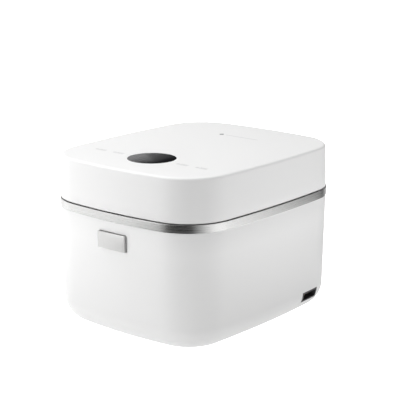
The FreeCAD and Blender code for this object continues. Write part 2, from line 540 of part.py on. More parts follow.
def lid():
    """Lid cover and frame, heater, detachable inner lid, window and its board."""
    axis = ("hinge_y", "hinge_z")
    sweep = "cover_r+sweep_gap"
    outer = prism("lid_outer", "lid_low", "lid_top", "0", "lid_lean", "lid_edge")
    inner = prism("lid_inner", "lid_low-0.001", "lid_top-lid_wall", "lid_wall", "lid_lean", "lid_edge-2")
    rear = box("lid_rear_cut", ("-hinge_half-1", "hinge_y", "lid_low-1"),
               ("hinge_half+1", "half_d+5", "skirt_z"))
    roll = rod("lid_roll_cut", sweep, ("-hinge_half-1", *axis), "2*hinge_half+2", "x")
    window = rod("window_cut", "window_r+0.15", ("0", "window_y", "lid_top-10"), "20")
    outlet = box("outlet_cut", ("-28", "half_d-20", "196"), ("28", "half_d+5", "220"))
    node(cut("lid_cover", outer, inner, rear, roll, window, outlet))

    centre = ("0", "pot_y", "0")
    plate = prism("frame_plate", "frame_low", "frame_top", "frame_inset")
    tub = rod("frame_tub", "recess_r+recess_wall", ("0", "pot_y", "frame_low"), "recess_top-frame_low")
    roof = common("frame_roof",
                  rod("roof_roll", f"{sweep}+2.5", ("-hinge_half-1", *axis), "2*hinge_half+2", "x"),
                  prism("roof_plan", "frame_low", "hinge_z+cover_r+6", "frame_inset+1"))
    tub_hole = rod("frame_hole", "recess_r", ("0", "pot_y", "frame_low-1"), "recess_top-frame_low-1")
    lip_hole = rod("frame_lip_hole", "recess_r-8", ("0", "pot_y", "frame_low-1"), "40")
    below = box("frame_rear_cut", ("-hinge_half-1", "hinge_y-1", "frame_low-1"),
                ("hinge_half+1", "half_d+5", "skirt_z+0.3"))
    roll_cut = rod("frame_roll_cut", sweep, ("-hinge_half-1.01", *axis), "2*hinge_half+2.02", "x")
    pocket = box("catch_pocket", ("-12.3", "latch_y+1.9", "frame_low-1"),
                 ("12.3", "latch_y+10.8", "frame_low+1.2"))
    arm_slots = [box(f"frame_arm_slot_{side}", (low, "111", "frame_top"),
                     (high, "hinge_y+6", "hinge_z+6"))
                 for side, low, high in ((0, "-arm_out-0.5", "-arm_in+0.5"),
                                         (1, "arm_in-0.5", "arm_out+0.5"))]
    spots = [("-100", "-120"), ("100", "-120"), ("-112", "60"), ("112", "60")]
    holes = [rod(f"frame_screw_hole_{i}", "1.6", (x, y, "frame_low-1"), "8")
             for i, (x, y) in enumerate(spots)]
    node(cut("lid_frame", fuse("frame_blank", plate, tub, roof), tub_hole, lip_hole, below, roll_cut,
             pocket, *arm_slots, *holes))
    tongue = box("catch_tongue", ("-12", "latch_y+2.2", "deck_seat-1.5"),
                 ("12", "latch_y+3.7", "frame_low+1.2"))
    flange = box("catch_flange", ("-12", "latch_y+2.2", "frame_low"),
                 ("12", "latch_y+10.5", "frame_low+1.2"))
    node(cut("latch_catch", fuse("catch_blank", tongue, flange),
             box("catch_eye", ("-8.6", "latch_y+1", "deck_seat+0.7"), ("8.6", "latch_y+5", "frame_low-1"))))

    sheet_low = "recess_top-1-2.5"
    node(cut("lid_heater_plate", rod("heater_disc", "recess_r-0.2", ("0", "pot_y", sheet_low), "1.5"),
             rod("heater_steam_hole", "8", ("0", "pot_y+56", "0"), "400")))
    node(cut("lid_heater", rod("heater_foil", "78", ("0", "pot_y", "recess_top-2"), "0.8"),
             rod("foil_middle", "42", ("0", "pot_y", "recess_top-3"), "3"),
             rod("foil_steam_hole", "8", ("0", "pot_y+56", "recess_top-3"), "3")))
    node(fuse("lid_sensor", rod("thermistor", "4", ("0", "pot_y", "recess_top-2"), "6"),
              rod("thermistor_base", "7", ("0", "pot_y", "recess_top-2"), "1.2")))
    seal_low = "deck_seat+2.3"
    disc = turned("inner_lid_disc", [
        ("0", "frame_low+3"), ("88", "frame_low+3"), ("96", "frame_low+1"), ("108", "frame_low+1"),
        ("108", "frame_low+2.2"), ("97", "frame_low+2.2"), ("89", "frame_low+4.2"), ("0", "frame_low+4.2")],
        centre)
    holes = [rod(f"steam_hole_{i}", "2.2", (f"{10 * math.cos(i * math.pi / 3):.3f}",
                                            f"pot_y+56+{10 * math.sin(i * math.pi / 3):.3f}", "150"), "60")
             for i in range(6)]
    holes.append(rod("steam_hole_middle", "2.2", ("0", "pot_y+56", "150"), "60"))
    node(cut("inner_lid", disc, *holes))
    node(turned("inner_lid_gasket", [
        ("108.1", seal_low), ("112.5", seal_low, "0.8"), ("112.5", "frame_low+3.6"), ("105", "frame_low+3.6"),
        ("105", "frame_low+2.3"), ("108.1", "frame_low+2.3")], centre))
    valve_at = ("0", "pot_y+56", "frame_low+4.3")
    node(cut("steam_valve", fuse("valve_blank", rod("valve_body", "15", valve_at, "7"),
                                 rod("valve_neck", "6.5", valve_at, "14")),
             rod("valve_bore", "5", ("0", "pot_y+56", "150"), "60")))
    steam_y, cap_z = value("pot_y+56"), 208
    duct_path = bent_wire([(0, steam_y, value("recess_top") + 1), (0, steam_y, cap_z),
                           (0, value("half_d") - 17, cap_z)], 12)
    duct, bore = swept("duct_solid", duct_path, 9), swept("duct_bore", duct_path, 7)
    node(cut("steam_duct", duct, bore))
    node(cut("steam_outlet", common("tray_solid", box("tray_box", ("-27.8", "half_d-16.9", "196.2"),
                                                       ("27.8", "half_d+5", "219.8")),
                                     prism("tray_plan", "190", "226", "lid_lean+1")),
               box("tray_room", ("-25.5", "half_d-15", "198.2"), ("25.5", "half_d+6", "217.8")),
               rod("tray_port", "7", ("0", "half_d-30", "208"), "20", "y")))
    cap = common("cap_plan_cut", box("cap_box", ("-25.2", "half_d-12", "198.5"),
                                     ("25.2", "half_d+5", "217.5")),
                 prism("cap_plan", "190", "226", "lid_lean+0.6"))
    slits = [box(f"cap_slit_{i}", (f"{-20 + 8 * i}", "half_d-20", "203"),
                 (f"{-16 + 8 * i}", "half_d+5", "213")) for i in range(6)]
    node(cut("steam_cap", cap, *slits, box("cap_room", ("-23.5", "half_d-20", "200.2"),
                                           ("23.5", "half_d-6", "215.8"))))

    node(fuse("display_window", rod("window_lens", "window_r", ("0", "window_y", "lid_top-2.6"), "2.5"),
              rod("window_rim", "window_r+2.5", ("0", "window_y", "lid_top-4.1"), "1.5")))
    node(tube("light_guide", "window_r", "window_r-4", ("0", "window_y", "lid_top-7.4"), "3.2"))
    node(box("control_board", ("-98", "window_y-24", "lid_top-9.1"), ("98", "window_y+24", "lid_top-7.5")))
    node(group("lid_posts", [
        tube(f"lid_post_{i}", "4", "1.6", (x, y, "frame_top"), "lid_top-lid_wall-frame_top-0.1")
        for i, (x, y) in enumerate(spots)]))
    node(group("lid_screws", [
        turned(f"lid_screw_{i}", [("0", "frame_low-1.1"), ("2.6", "frame_low-1.1", "0.5"),
                                  ("2.6", "frame_low"), ("1.4", "frame_low"), ("1.4", "frame_low+12"),
                                  ("0", "frame_low+12.5")],
               (x, y, "0")) for i, (x, y) in enumerate(spots)]))


# ---- latch and button -------------------------------------------------------------------

def latch():
    """Push button on the front, the hook that it tips, and their springs."""
    face = box("button_block", ("-button_w/2", "button_face", "button_z-button_tall/2"),
               ("button_w/2", "button_face+6", "button_z+button_tall/2"))
    rounded = doc.addObject("Part::Fillet", "button_rounded")
    rounded.Base = face
    doc.recompute()
    rounded.Edges = [(i, 1.2, 1.2) for i, edge in enumerate(face.Shape.Edges, start=1)
                     if edge.BoundBox.YMax < value("button_face") + 1e-6]
    stem = box("button_stem", ("-4", "button_face+5", "button_z-9.5"), ("4", "latch_y-2.7", "button_z-6.5"))
    node(fuse("release_button", rounded, stem))

    bar = box("hook_bar", ("-8", "latch_y-1.5", "button_z-12"), ("8", "latch_y+1.5", "frame_low-1"))
    nose = box("hook_nose", ("-8", "latch_y", "deck_seat+1.5"), ("8", "latch_y+1.8", "frame_low-1"))
    eye = rod("hook_eye", "3.4", ("-8", "latch_y", "latch_z"), "16", "x")
    node(cut("latch_hook", fuse("hook_blank", bar, nose, eye),
             rod("hook_bore", "1.5+pin_fit", ("-20", "latch_y", "latch_z"), "40", "x")))
    node(rod("latch_pin", "1.5", ("-button_w/2-2.6", "latch_y", "latch_z"), "button_w+5.2", "x"))
    node(spring("latch_spring", 2.3, 0.4, 6, 5, (9.5, value("latch_y"), value("latch_z")), "x"))

    wide, tall = "(button_w/2+slit)", "(button_tall/2+slit)"
    frame = cut("guide_frame", box("guide_outer", (f"-{wide}-2", "-half_d+4.4", f"button_z-{tall}-2"),
                                   (f"{wide}+2", "-half_d+6.6", f"button_z+{tall}+2")),
                box("guide_inner", (f"-{wide}", "-half_d", f"button_z-{tall}"),
                    (f"{wide}", "-half_d+12", f"button_z+{tall}")))
    cheeks = [box(f"guide_cheek_{i}", (low, "-half_d+6.6", f"button_z-{tall}-2"),
                  (high, "latch_y+6", "latch_z+4"))
              for i, (low, high) in enumerate(((f"-{wide}-2", f"-{wide}"), (wide, f"{wide}+2")))]
    cheeks.append(box("guide_bridge", (f"-{wide}-2", "latch_y+4.5", "button_z-2"),
                      (f"{wide}+2", "latch_y+6", "button_z+8")))
    node(cut("button_guide", fuse("guide_blank", frame, *cheeks),
             rod("guide_bore", "1.5", ("-30", "latch_y", "latch_z"), "60", "x")))
    node(group("button_springs", [
        spring(f"button_spring_{i}", 2.6, 0.4, 10, 6, (x, value("button_face+6.9"), value("button_z+2")), "y")
        for i, x in enumerate((-13.0, 13.0))]))


def check_and_write():
    """Stop on any failed object, then write one file for each piece."""
    doc.recompute()
    for thing in doc.Objects:
        if "Invalid" in thing.State or "Error" in thing.State:
            raise RuntimeError(f"{thing.Label} failed: {thing.State}")
    os.makedirs("parts", exist_ok=True)
    for thing in nodes:
        if thing.Shape.isNull() or not thing.Shape.isValid():
            raise RuntimeError(f"{thing.Label} has a bad shape")
        thing.Shape.exportStep(f"parts/{thing.Label}.step")
        print(thing.Label, len(thing.Shape.Solids), round(thing.Shape.Volume))


casings()
heating()
electrics()
hinge()
lid()
latch()
check_and_write()
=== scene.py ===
import json
import logging
import math
from abc import ABC, abstractmethod
from collections.abc import Iterable, Sequence
from dataclasses import dataclass
from enum import Enum

import bmesh
import bpy
from mathutils import Matrix, Vector

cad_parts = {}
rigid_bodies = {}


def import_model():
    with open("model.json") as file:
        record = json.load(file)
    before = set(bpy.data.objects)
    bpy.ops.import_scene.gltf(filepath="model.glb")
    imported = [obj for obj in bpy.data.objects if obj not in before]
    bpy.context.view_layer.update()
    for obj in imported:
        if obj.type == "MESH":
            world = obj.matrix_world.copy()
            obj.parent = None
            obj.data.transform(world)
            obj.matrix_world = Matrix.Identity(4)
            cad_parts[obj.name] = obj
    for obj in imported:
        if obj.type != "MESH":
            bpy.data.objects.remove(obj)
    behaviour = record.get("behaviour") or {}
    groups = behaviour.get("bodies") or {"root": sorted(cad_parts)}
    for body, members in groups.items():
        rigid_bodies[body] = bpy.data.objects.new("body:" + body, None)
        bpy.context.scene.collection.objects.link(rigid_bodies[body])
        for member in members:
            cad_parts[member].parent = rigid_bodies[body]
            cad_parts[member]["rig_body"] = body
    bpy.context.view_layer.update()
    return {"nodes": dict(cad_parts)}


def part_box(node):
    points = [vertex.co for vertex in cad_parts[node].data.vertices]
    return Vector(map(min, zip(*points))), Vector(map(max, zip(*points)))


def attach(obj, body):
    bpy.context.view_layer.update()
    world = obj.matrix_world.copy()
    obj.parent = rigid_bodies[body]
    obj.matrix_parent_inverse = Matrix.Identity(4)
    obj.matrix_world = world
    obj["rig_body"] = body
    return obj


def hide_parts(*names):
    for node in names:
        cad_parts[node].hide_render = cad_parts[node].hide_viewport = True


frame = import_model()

LOG = logging.getLogger("rice_cooker")
SHARP = math.radians(32)
RING_GAP = 0.05

Colour = tuple[float, float, float]
Profile = list[tuple[float, float]]


# ---- finishes ----------------------------------------------------------------------------


class Stroke(Enum):
    """Which way a metal is brushed, as the stretch of its grain along X, Y and Z."""

    ALONG_WALL = (6.0, 6.0, 2600.0)
    UPRIGHT = (2200.0, 2200.0, 14.0)
    ALL_WAYS = (500.0, 500.0, 500.0)


class NodeBoard:
    """A material's node tree, with short calls for the nodes that the finishes share."""

    def __init__(self, name: str) -> None:
        """Start a material with one Principled shader.

        Args:
            name: the material's name.
        """
        self.material = bpy.data.materials.new(name)
        self.material.use_nodes = True
        self.tree = self.material.node_tree
        self.shader = self.tree.nodes["Principled BSDF"]
        self.place = self.tree.nodes.new("ShaderNodeTexCoord").outputs["Object"]

    def node(self, kind: str, **values: object) -> bpy.types.Node:
        """Add a node and fill in its inputs or options.

        Args:
            kind: the node's Blender type.
            values: input values or links by socket name, or node options.

        Returns:
            The new node.
        """
        made = self.tree.nodes.new(kind)
        for key, value in values.items():
            label = key.replace("_", " ").title()
            if isinstance(value, bpy.types.NodeSocket):
                self.tree.links.new(value, made.inputs[label])
            elif label in made.inputs:
                made.inputs[label].default_value = value
            else:
                setattr(made, key, value)
        return made

    def link(self, output: bpy.types.NodeSocket, target: str) -> None:
        """Link an output to one of the shader's inputs."""
        self.tree.links.new(output, self.shader.inputs[target])

    def set(self, **values: object) -> None:
        """Set constants on the shader's own sockets."""
        for key, value in values.items():
            self.shader.inputs[key.replace("_", " ").title().replace("Ior", "IOR")].default_value = value

    def mapped(self, scale: Sequence[float], centre: Vector | None = None) -> bpy.types.NodeSocket:
        """Object coordinates moved to a centre and scaled.

        Args:
            scale: the scale along X, Y and Z.
            centre: the point that becomes the pattern's origin.

        Returns:
            The mapped vector.
        """
        moved = self.node("ShaderNodeMapping", vector=self.place, scale=tuple(scale))
        if centre is not None:
            moved.inputs["Location"].default_value = [-c * s for c, s in zip(centre, scale)]
        return moved.outputs["Vector"]

    def noise(self, scale: float, detail: float = 3.0, vector: bpy.types.NodeSocket | None = None,
              rough: float = 0.55) -> bpy.types.NodeSocket:
        """Noise between 0 and 1 over the piece.

        Args:
            scale: how fine it is.
            detail: how many finer layers it has.
            vector: where it is read, if not at the object coordinates.
            rough: how strong the finer layers are.

        Returns:
            The noise.
        """
        made = self.node("ShaderNodeTexNoise", vector=self.place if vector is None else vector,
                         scale=scale, detail=detail, roughness=rough)
        return made.outputs["Fac"]

    def spread(self, source: bpy.types.NodeSocket, low: float, high: float, start: float = 0.0,
               end: float = 1.0) -> bpy.types.NodeSocket:
        """Map a value from start..end onto low..high.

        Args:
            source: the value to map.
            low: the result at start.
            high: the result at end.
            start: where the source begins to count.
            end: where it stops.

        Returns:
            The mapped value.
        """
        made = self.node("ShaderNodeMapRange", value=source, from_min=start, from_max=end, to_min=low,
                         to_max=high)
        return made.outputs["Result"]

    def blend(self, factor: bpy.types.NodeSocket, first: Colour | bpy.types.NodeSocket,
              second: Colour) -> bpy.types.NodeSocket:
        """Mix two colours.

        Args:
            factor: the share of the second colour.
            first: the colour or link at 0.
            second: the colour at 1.

        Returns:
            The mixed colour.
        """
        made = self.node("ShaderNodeMix", data_type="RGBA", factor=factor)
        if isinstance(first, bpy.types.NodeSocket):
            self.tree.links.new(first, made.inputs[6])
        else:
            made.inputs[6].default_value = (*first, 1.0)
        made.inputs[7].default_value = (*second, 1.0)
        return made.outputs[2]

    def math(self, kind: str, first: bpy.types.NodeSocket | float,
             second: bpy.types.NodeSocket | float = 0.0) -> bpy.types.NodeSocket:
        """One step of arithmetic.

        Args:
            kind: the operation's Blender name.
            first: the first value or link.
            second: the second value or link.

        Returns:
            The result.
        """
        made = self.tree.nodes.new("ShaderNodeMath")
        made.operation = kind
        for socket, value in zip(made.inputs, (first, second)):
            if isinstance(value, bpy.types.NodeSocket):
                self.tree.links.new(value, socket)
            else:
                socket.default_value = value
        return made.outputs["Value"]

    def bump(self, height: bpy.types.NodeSocket, depth: float) -> None:
        """Raise the surface.

        Args:
            height: the relief, between 0 and 1.
            depth: how far 1 stands above 0, in metres.
        """
        self.link(self.node("ShaderNodeBump", strength=1.0, distance=depth, height=height).outputs["Normal"],
                  "Normal")


@dataclass(frozen=True)
class Finish(ABC):
    """A finish by name and base colour. Each kind builds its own material once."""

    name: str
    colour: Colour

    @abstractmethod
    def build(self, board: NodeBoard) -> None:
        """Lay the finish's nodes on a board."""

    def material(self) -> bpy.types.Material:
        """The finish's material, made the first time that it is asked for."""
        known = bpy.data.materials.get(self.name)
        if known is None:
            board = NodeBoard(self.name)
            self.build(board)
            known = board.material
        return known

    def shade(self, share: float) -> Colour:
        """The base colour made darker or lighter."""
        return tuple(min(1.0, c * share) for c in self.colour)


@dataclass(frozen=True)
class MouldedPlastic(Finish):
    """Injection-moulded plastic: faint flow mottling, fine grain, an even sheen, and painted shade that can
    darken the colour towards the bottom.
    """

    roughness: float = 0.35
    coat: float = 0.0
    grain_scale: float = 1400.0
    grain_depth: float = 0.00001
    mottle: float = 0.02
    # painted shade: the colour's share at the bottom, and the heights over which it fades back to full
    # colour
    painted_foot_shade: float = 1.0
    painted_shade_span: tuple[float, float] = (0.02, 0.13)
    gloss: float = 0.5

    def build(self, board: NodeBoard) -> None:
        """Mottle the colour and roughness, raise the grain, and paint shade into the colour towards the
        foot.
        """
        cloud = board.noise(9.0, 4.0)
        height = board.node("ShaderNodeSeparateXYZ", vector=board.place).outputs["Z"]
        # painted shade: the colour is darker towards the bottom, standing in for the lower wall's shade
        painted_shade = board.spread(height, self.painted_foot_shade - self.mottle, 1 - self.mottle, *self.painted_shade_span)
        share = board.math("ADD", painted_shade, board.math("MULTIPLY", cloud, 2 * self.mottle))
        board.link(board.blend(share, (0.0, 0.0, 0.0), self.colour), "Base Color")
        smear = board.noise(38.0, 5.0)
        board.link(board.spread(smear, self.roughness * 0.9, self.roughness * 1.12), "Roughness")
        grain = board.noise(self.grain_scale, 2.0)
        board.bump(grain, self.grain_depth)
        board.set(specular_ior_level=self.gloss, coat_weight=self.coat, coat_roughness=0.12)


@dataclass(frozen=True)
class BrushedMetal(Finish):
    """Metal with fine strokes one way, a slight drift in tone and soft wear."""

    roughness: float = 0.3
    stroke: Stroke = Stroke.ALONG_WALL
    stroke_depth: float = 0.000012

    def build(self, board: NodeBoard) -> None:
        """Stretch noise along the stroke for tone, roughness and relief."""
        lines = board.noise(1.0, 3.0, board.mapped(self.stroke.value), 0.65)
        tone = board.blend(board.spread(lines, 0.0, 1.0, 0.3, 0.7), self.shade(0.93), self.shade(1.04))
        board.link(tone, "Base Color")
        rough = board.spread(lines, self.roughness * 0.8, self.roughness * 1.25, 0.25, 0.75)
        board.link(rough, "Roughness")
        board.bump(lines, self.stroke_depth)
        board.set(metallic=1.0)


@dataclass(frozen=True)
class SpunMetal(Finish):
    """Metal turned on a lathe: fine rings about an upright axis."""

    centre: tuple[float, float] = (0.0, 0.0)
    roughness: float = 0.28
    ring_scale: float = 900.0

    def build(self, board: NodeBoard) -> None:
        """Read noise along the distance from the axis."""
        moved = board.mapped((1.0, 1.0, 0.0), Vector((*self.centre, 0.0)))
        reach = board.node("ShaderNodeVectorMath", operation="LENGTH", vector=moved).outputs["Value"]
        rings = board.node("ShaderNodeTexNoise", noise_dimensions="1D", w=reach, scale=self.ring_scale,
                           detail=4.0)
        fac = rings.outputs["Fac"]
        board.link(board.blend(fac, self.shade(0.92), self.shade(1.05)), "Base Color")
        board.link(board.spread(fac, self.roughness * 0.8, self.roughness * 1.3, 0.3, 0.7), "Roughness")
        board.bump(fac, 0.000015)
        board.set(metallic=1.0)


@dataclass(frozen=True)
class SpeckledCoating(Finish):
    """Baked non-stick coating: dark, with fine pale flecks and a slight orange peel."""

    fleck: Colour = (0.42, 0.42, 0.43)

    def build(self, board: NodeBoard) -> None:
        """Scatter flecks of two sizes, and dimple the surface."""
        cells = board.node("ShaderNodeTexVoronoi", vector=board.place, scale=900.0).outputs["Distance"]
        dots = board.spread(cells, 1.0, 0.0, 0.12, 0.2)
        drift = board.spread(board.noise(160.0, 2.0), 0.0, 1.0, 0.5, 0.62)
        board.link(board.blend(board.math("MULTIPLY", dots, drift), self.colour, self.fleck), "Base Color")
        board.link(board.spread(board.noise(60.0, 4.0), 0.28, 0.42), "Roughness")
        board.bump(board.noise(700.0, 2.0), 0.00002)
        board.set(metallic=0.35, coat_weight=0.25, coat_roughness=0.2)


@dataclass(frozen=True)
class Elastomer(Finish):
    """Rubber or silicone: soft, dull, with a dusty bloom."""

    roughness: float = 0.6

    def build(self, board: NodeBoard) -> None:
        """Bloom in patches over a fine matt grain."""
        bloom = board.spread(board.noise(30.0, 5.0), 0.0, 1.0, 0.35, 0.75)
        board.link(board.blend(bloom, self.shade(0.9), self.shade(1.12)), "Base Color")
        board.link(board.spread(bloom, self.roughness * 0.9, self.roughness * 1.15), "Roughness")
        board.bump(board.noise(1800.0, 1.0), 0.000012)
        board.set(sheen_weight=0.08, sheen_roughness=0.5)


@dataclass(frozen=True)
class SmokedGlass(Finish):
    """Gloss window over a dark screen, with a painted reflection making it a little lighter towards its left
    edge.
    """

    centre: tuple[float, float] = (0.0, 0.0)
    reach: float = 0.032
    # painted reflection: the pale colour at the window's left edge
    reflection_pale: Colour = (0.17, 0.17, 0.175)

    def build(self, board: NodeBoard) -> None:
        """Paint a reflection across the window, pale at the left and fading to dark, with faint upright
        lines of the screen's cells.
        """
        across = board.mapped((0.5 / self.reach, 0.0, 0.0), Vector((self.centre[0] - self.reach, 0, 0)))
        split = board.node("ShaderNodeSeparateXYZ", vector=across)
        lines = board.noise(1.0, 1.0, board.mapped((900.0, 12.0, 1.0)))
        # painted reflection: pale at the left, dark towards the right
        fade = board.math("ADD", split.outputs["X"], board.spread(lines, -0.3, 0.3))
        paint = board.blend(board.spread(fade, 0.0, 1.0, 0.1, 0.8), self.reflection_pale, self.colour)
        board.link(paint, "Base Color")
        board.link(board.spread(board.noise(20.0, 3.0), 0.12, 0.16), "Roughness")
        board.set(specular_ior_level=0.3)


@dataclass(frozen=True)
class BoardLaminate(Finish):
    """Circuit board: solder mask over tracks, with tinned pads."""

    pad: Colour = (0.75, 0.74, 0.7)

    def build(self, board: NodeBoard) -> None:
        """Lay out blocks of track, and a grid of pads with gaps in it."""
        grid = board.node("ShaderNodeTexBrick", vector=board.mapped((260.0, 260.0, 260.0)), scale=1.0,
                          mortar_size=0.06)
        track = board.blend(grid.outputs["Fac"], self.colour, self.shade(1.9))
        cells = board.node("ShaderNodeTexVoronoi", vector=board.place, scale=330.0).outputs["Distance"]
        dots = board.math("MULTIPLY", board.spread(cells, 1.0, 0.0, 0.16, 0.2),
                          board.spread(board.noise(45.0, 2.0), 0.0, 1.0, 0.48, 0.5))
        board.link(board.blend(dots, track, self.pad), "Base Color")
        board.link(board.spread(dots, 0.35, 0.22), "Roughness")
        board.bump(board.math("ADD", grid.outputs["Fac"], dots), 0.00003)


@dataclass(frozen=True)
class WoundWire(Finish):
    """Lacquered strands laid side by side."""

    def build(self, board: NodeBoard) -> None:
        """Twist fine strands through the wire."""
        bands = board.node("ShaderNodeTexWave", vector=board.mapped((700.0, 700.0, 500.0)), scale=1.0,
                           distortion=2.0, detail=1.0).outputs["Fac"]
        board.link(board.blend(bands, self.shade(0.6), self.shade(1.1)), "Base Color")
        board.link(board.spread(bands, 0.5, 0.28), "Roughness")
        board.bump(bands, 0.00008)
        board.set(metallic=0.85, coat_weight=0.3, coat_roughness=0.2)


POT_CENTRE = (0.0, -0.025)
# the white casing paints shade into its lower wall: 0.8 of its colour at the bottom
WHITE = MouldedPlastic("white_casing_plastic", (0.86, 0.86, 0.857), 0.42, 0.0, 2200.0, 0.000004, 0.004,
                       0.8, gloss=0.3)
INNER_WHITE = MouldedPlastic("white_inner_plastic", (0.78, 0.78, 0.772), 0.42, 0.0, 1500.0, 0.00001, 0.012)
GREY_PLASTIC = MouldedPlastic("grey_base_plastic", (0.6, 0.6, 0.595), 0.55, 0.0, 1100.0, 0.00003, 0.03)
BLACK_PLASTIC = MouldedPlastic("black_filled_plastic", (0.03, 0.03, 0.032), 0.5, 0.0, 1300.0, 0.00002, 0.12)
DARK_SLIT = MouldedPlastic("charcoal_plastic", (0.06, 0.06, 0.062), 0.45, 0.0, 1300.0, 0.00001, 0.08)
SATIN_BAND = BrushedMetal("satin_silver_band", (0.54, 0.54, 0.535), 0.26, Stroke.ALONG_WALL, 0.000004)
BUTTON_METAL = BrushedMetal("brushed_button_face", (0.56, 0.56, 0.555), 0.36, Stroke.UPRIGHT, 0.000006)
PRESSED_STEEL = BrushedMetal("pressed_steel", (0.6, 0.61, 0.62), 0.38, Stroke.ALL_WAYS, 0.00002)
ZINC = BrushedMetal("zinc_plate", (0.66, 0.66, 0.62), 0.3, Stroke.ALL_WAYS, 0.00001)
SPRING_STEEL = BrushedMetal("spring_steel", (0.5, 0.5, 0.5), 0.28, Stroke.ALL_WAYS, 0.00001)
FIN_ALUMINIUM = BrushedMetal("extruded_aluminium", (0.72, 0.73, 0.74), 0.36, Stroke.ALL_WAYS, 0.00002)
PIN_BRASS = BrushedMetal("plated_brass", (0.72, 0.58, 0.3), 0.25, Stroke.ALL_WAYS, 0.00001)
CAP_ALUMINIUM = SpunMetal("spun_sensor_cap", (0.76, 0.77, 0.78), POT_CENTRE, 0.3)
LID_ALUMINIUM = SpunMetal("spun_inner_lid", (0.78, 0.78, 0.78), POT_CENTRE, 0.26)
POT_COATING = SpeckledCoating("pot_coating", (0.05, 0.05, 0.053))
FOOT_RUBBER = Elastomer("foot_rubber", (0.05, 0.05, 0.05), 0.7)
SILICONE = Elastomer("grey_silicone", (0.5, 0.5, 0.48), 0.45)
# the window's colour carries a painted reflection, pale at its left edge
SCREEN = SmokedGlass("smoked_window", (0.008, 0.008, 0.009), (0.0, -0.087))
LAMINATE = BoardLaminate("green_board", (0.015, 0.12, 0.05))
COIL_WIRE = WoundWire("coil_wire", (0.62, 0.3, 0.14))
FERRITE = MouldedPlastic("sintered_ferrite", (0.035, 0.035, 0.038), 0.65, 0.0, 2400.0, 0.00005, 0.2)
SLEEVE = MouldedPlastic("capacitor_sleeve", (0.02, 0.03, 0.09), 0.3, 0.1, 900.0, 0.00001, 0.05)
LEAD_BRAID = WoundWire("lead_sleeve", (0.62, 0.6, 0.55))
FAINT_INK = MouldedPlastic("faint_grey_ink", (0.68, 0.68, 0.68), 0.5, 0.0, 2600.0, 0.000002, 0.05)
DARK_INK = MouldedPlastic("dark_grey_ink", (0.2, 0.2, 0.21), 0.45, 0.0, 2600.0, 0.000002, 0.05)

CAD_FINISHES: dict[str, Finish] = {
    "base_screws": ZINC, "side_heater": SILICONE, "induction_coil": COIL_WIRE, "ferrite_bars": FERRITE,
    "coil_tray": BLACK_PLASTIC, "sensor_sleeve": BLACK_PLASTIC, "sensor_spring": SPRING_STEEL,
    "fan_frame": BLACK_PLASTIC, "fan_rotor": BLACK_PLASTIC, "inlet_pins": PIN_BRASS,
    "power_board": LAMINATE, "heat_sink": FIN_ALUMINIUM, "power_devices": BLACK_PLASTIC,
    "capacitors": SLEEVE, "choke_coil": COIL_WIRE, "coil_leads": LEAD_BRAID, "inlet_leads": LEAD_BRAID,
    "hinge_screws": ZINC, "hinge_pin": SPRING_STEEL, "hinge_spring": SPRING_STEEL,
    "lid_heater_plate": PRESSED_STEEL, "lid_heater": SILICONE, "lid_sensor": FIN_ALUMINIUM,
    "steam_duct": SILICONE, "light_guide": BLACK_PLASTIC, "control_board": LAMINATE,
    "lid_posts": INNER_WHITE, "lid_screws": ZINC, "latch_pin": SPRING_STEEL, "latch_spring": SPRING_STEEL,
    "button_springs": SPRING_STEEL,
}


# ---- mesh tools ------------------------------------------------------------------------------


def arc(centre: tuple[float, float], radius: float, start: float, end: float, steps: int) -> Profile:
    """Points along an arc of a profile.

    Args:
        centre: the arc's centre.
        radius: its radius.
        start: its first angle, in degrees.
        end: its last angle, in degrees.
        steps: how many chords it has.

    Returns:
        The points, both ends included.
    """
    turns = [math.radians(start + (end - start) * i / steps) for i in range(steps + 1)]
    return [(centre[0] + radius * math.cos(a), centre[1] + radius * math.sin(a)) for a in turns]


@dataclass(frozen=True)
class Plan:
    """The cooker seen from above: eight arcs, each tangent to the next."""

    half_w: float = 0.135
    half_d: float = 0.1625
    side_r: float = 1.4
    front_r: float = 0.64
    corner_r: float = 0.065
    chords: tuple[int, int, int] = (12, 16, 12)

    def corner(self) -> tuple[float, float, float, float]:
        """Where the corner arc sits.

        Returns:
            Its centre's X and Y, and the angles at which it starts and ends.
        """
        a, b, rs, rf, rc = self.half_w, self.half_d, self.side_r, self.front_r, self.corner_r
        span = math.hypot(rs - a, rf - b)
        along = ((rs - rc) ** 2 - (rf - rc) ** 2 + span**2) / (2 * span)
        off = math.sqrt((rs - rc) ** 2 - along**2)
        ux, uy = (rs - a) / span, -(rf - b) / span
        x, y = a - rs + along * ux - off * uy, along * uy + off * ux
        return x, y, math.atan2(y, x - (a - rs)), math.atan2(y - (b - rf), x)

    def ring(self, mesh: bmesh.types.BMesh, inset: float, level: float) -> list[bmesh.types.BMEdge]:
        """Spin one vertex round the eight arcs, moved in by an inset.

        Args:
            mesh: the mesh that gets the ring.
            inset: how far inside the outline the ring lies.
            level: its height.

        Returns:
            The closed ring's edges.
        """
        x, y, low, high = self.corner()
        side, front = self.half_w - self.side_r, self.half_d - self.front_r
        side_n, corner_n, front_n = self.chords
        arcs = (
            ((side, 0), low, side_n // 2), ((x, y), high - low, corner_n),
            ((0, front), math.pi - 2 * high, front_n), ((-x, y), high - low, corner_n),
            ((-side, 0), 2 * low, side_n), ((-x, -y), high - low, corner_n),
            ((0, -front), math.pi - 2 * high, front_n), ((x, -y), high - low, corner_n),
            ((side, 0), low, side_n // 2),
        )
        first = last = mesh.verts.new((self.half_w - inset, 0, level))
        made = [first]
        for centre, angle, steps in arcs:
            before = set(mesh.verts)
            spun = bmesh.ops.spin(mesh, geom=[last], cent=(*centre, level), axis=(0, 0, 1), angle=angle,
                                  steps=steps, use_merge=False, use_duplicate=False)
            last = [v for v in spun["geom_last"] if isinstance(v, bmesh.types.BMVert)][0]
            made += [v for v in mesh.verts if v not in before]
        bmesh.ops.pointmerge(mesh, verts=[first, last], merge_co=first.co)
        return list({e for v in made if v.is_valid for e in v.link_edges})


PLAN = Plan()


